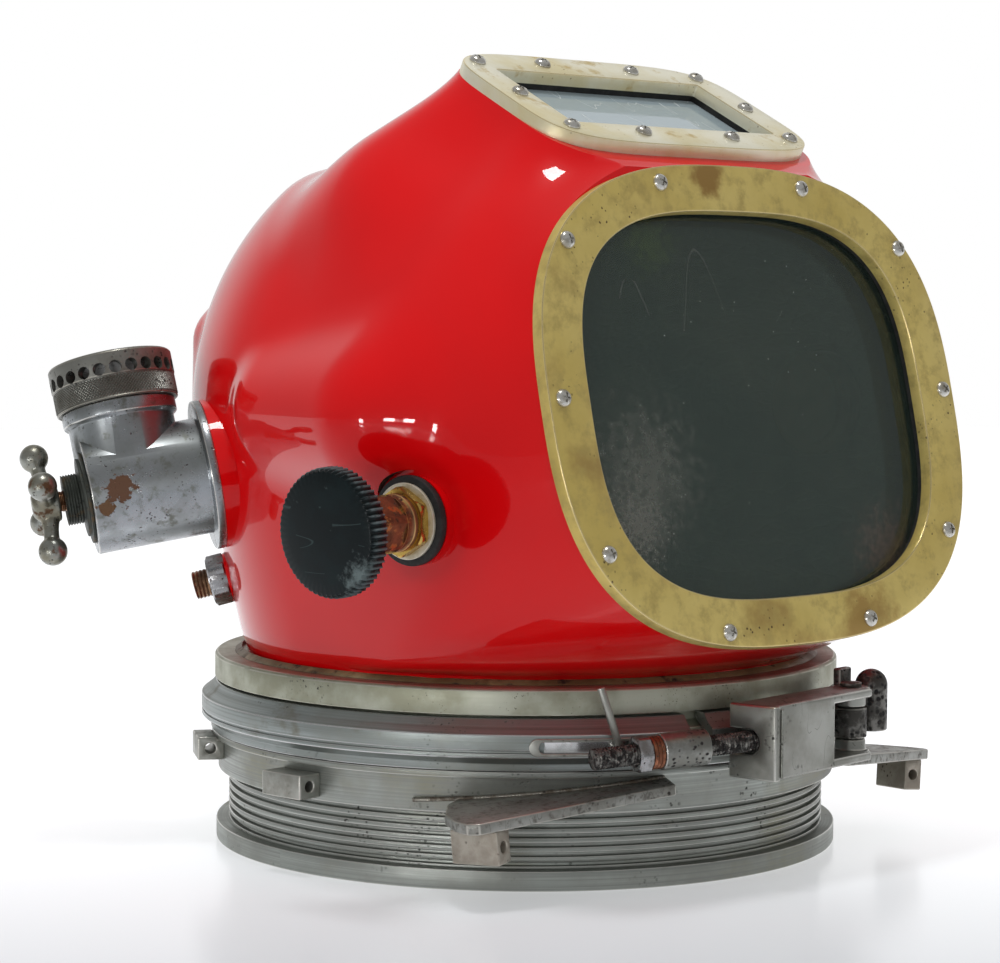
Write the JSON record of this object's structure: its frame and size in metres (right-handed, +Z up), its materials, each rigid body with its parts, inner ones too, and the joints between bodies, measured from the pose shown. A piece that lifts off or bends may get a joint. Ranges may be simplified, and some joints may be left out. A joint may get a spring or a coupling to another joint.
{
  "type": "diving helmet",
  "caption": "Full diving helmet with a rounded shell, tilted front and top windows, supply and exhaust valves, and a neck ring held on by a hinged clamp band",
  "frame": {"origin": "on the neck ring's axis in the plane that the helmet stands on", "axes": "+Z up along the neck ring's axis, -Y the way the front window faces, -X the diver's right, where the supply valve is"},
  "size_m": [0.3922, 0.3568, 0.3722],
  "materials": {
    "red_gelcoat": "glossy red gelcoat over glass fibre",
    "resin": "brown hardened resin",
    "ring_metal": "turned, lightly tarnished metal",
    "black_rubber": "matt black rubber",
    "plate_steel": "ground plate with grime",
    "worn_steel": "worn steel with a brown stain",
    "brass": "dull brass with dark spots",
    "front_pane": "thick clear pane, dark inside",
    "top_pane": "thick clear pane",
    "screw_steel": "bright steel",
    "copper": "copper",
    "cast_steel": "cast and ground, matt",
    "corroded_steel": "pitted dark steel",
    "nut_chrome": "bright plated",
    "pin_steel": "bright turned pin",
    "tarnished_brass": "brown tarnished brass",
    "knob_plastic": "black moulded plastic",
    "worn_chrome": "worn chrome, flaked to brown metal",
    "spider_metal": "dull plated metal worn to brass",
    "cap_metal": "dark knurled metal",
    "earphone_metal": "brown perforated disc"
  },
  "bodies": {
    "helmet": {"shell": "red_gelcoat", "resin_bead": "resin", "helmet_ring": "ring_metal", "sealing_ring": "black_rubber", "neck_ring": "ring_metal", "side_plates": "plate_steel", "plate_blocks": "worn_steel", "strap_lugs": "ring_metal", "front_bezel": "brass", "front_gasket": "black_rubber", "front_glass": "front_pane", "front_screws": "screw_steel", "top_bezel": "brass", "top_gasket": "black_rubber", "top_glass": "top_pane", "top_screws": "screw_steel", "supply_body": "brass", "supply_rubber_ring": "black_rubber", "supply_washer": "nut_chrome", "packing_nut": "tarnished_brass", "supply_locknut": "brass", "air_muffler": "tarnished_brass", "exhaust_body": "worn_chrome", "exhaust_gland": "tarnished_brass", "exhaust_locknut": "brass", "spare_stud": "tarnished_brass", "spare_nut": "nut_chrome", "earphone_cups": "black_rubber", "earphones": "earphone_metal"},
    "clamp_right": {"right_clamp_band": "ring_metal", "rear_hinge_pin": "screw_steel", "bolt_barrel": "ring_metal", "copper_washers": "copper", "lock_track": "ring_metal"},
    "clamp_left": {"left_clamp_band": "ring_metal", "hinge_lug": "cast_steel"},
    "clamp_lever": {"clamp_lever": "cast_steel", "lever_pin": "screw_steel"},
    "draw_bolt": {"draw_bolt": "corroded_steel"},
    "adjusting_nut": {"adjusting_nut": "nut_chrome"},
    "lock_pin": {"lock_pin": "pin_steel"},
    "supply_knob": {"supply_knob": "knob_plastic", "supply_spindle": "brass"},
    "supply_needle": {"supply_needle": "pin_steel"},
    "exhaust_disc": {"exhaust_disc": "tarnished_brass"},
    "spider": {"spider_handle": "spider_metal", "spider_spindle": "brass"},
    "exhaust_cap": {"exhaust_cap": "cap_metal"},
    "mushroom_valve": {"mushroom_valve": "black_rubber"}
  },
  "joints": [
    {"name": "clamp_lever_swing", "type": "hinge", "parent": "clamp_left", "child": "clamp_lever", "pos_m": [0.05683, -0.15953, 0.06564], "axis": [0, 0, 1], "range_deg": [0, 95]},
    {"name": "clamp_right_open", "type": "hinge", "parent": "helmet", "child": "clamp_right", "pos_m": [0.03593, 0.16206, 0.0648], "axis": [0, 0, 1], "range_deg": [-1.81, 0]},
    {"name": "clamp_left_open", "type": "hinge", "parent": "helmet", "child": "clamp_left", "pos_m": [0.03593, 0.16206, 0.0648], "axis": [0, 0, 1], "range_deg": [0, 1.81]},
    {"name": "adjusting_nut_turn", "type": "hinge", "parent": "clamp_right", "child": "adjusting_nut", "pos_m": [-0.07169, -0.15299, 0.06286], "axis": [0.9442, -0.3251, 0.0523], "range_deg": [0, 542]},
    {"name": "draw_bolt_travel", "type": "slide", "parent": "clamp_right", "child": "draw_bolt", "axis": [-0.9442, 0.3251, -0.0523], "range_m": [0, 0.00225]},
    {"name": "lock_pin_travel", "type": "hinge", "parent": "clamp_right", "child": "lock_pin", "pos_m": [0, 0, 0.0645], "axis": [0, 0, 1], "range_deg": [-11.5, 0]},
    {"name": "supply_knob_turn", "type": "hinge", "parent": "helmet", "child": "supply_knob", "pos_m": [-0.18708, -0.09582, 0.16171], "axis": [-0.9894, -0.1355, -0.0523], "range_deg": [0, 1080]},
    {"name": "supply_needle_travel", "type": "slide", "parent": "helmet", "child": "supply_needle", "axis": [-0.9894, -0.1355, -0.0523], "range_m": [0, 0.00401]},
    {"name": "exhaust_disc_travel", "type": "slide", "parent": "helmet", "child": "exhaust_disc", "axis": [-0.8613, 0.4774, -0.1736], "range_m": [0, 0.003]},
    {"name": "spider_turn", "type": "hinge", "parent": "exhaust_disc", "child": "spider", "pos_m": [-0.19446, 0.10779, 0.16334], "axis": [-0.8613, 0.4774, -0.1736], "range_deg": [0, 722]},
    {"name": "exhaust_cap_turn", "type": "hinge", "parent": "helmet", "child": "exhaust_cap", "pos_m": [-0.16798, 0.10597, 0.21705], "axis": [-0.0389, 0.2788, 0.9596], "range_deg": [0, 270]},
    {"name": "mushroom_valve_lift", "type": "slide", "parent": "helmet", "child": "mushroom_valve", "axis": [-0.0389, 0.2788, 0.9596], "range_m": [0, 0.002]}
  ],
  "couplings": [
    {"joint": "clamp_right_open", "follows": "clamp_lever_swing", "ratio": -0.018947},
    {"joint": "clamp_left_open", "follows": "clamp_lever_swing", "ratio": 0.018947},
    {"joint": "adjusting_nut_turn", "follows": "draw_bolt_travel", "rad_per_m": 4188.8},
    {"joint": "supply_needle_travel", "follows": "supply_knob_turn", "m_per_rad": 0.00021221},
    {"joint": "spider_turn", "follows": "exhaust_disc_travel", "rad_per_m": 4188.8}
  ]
}
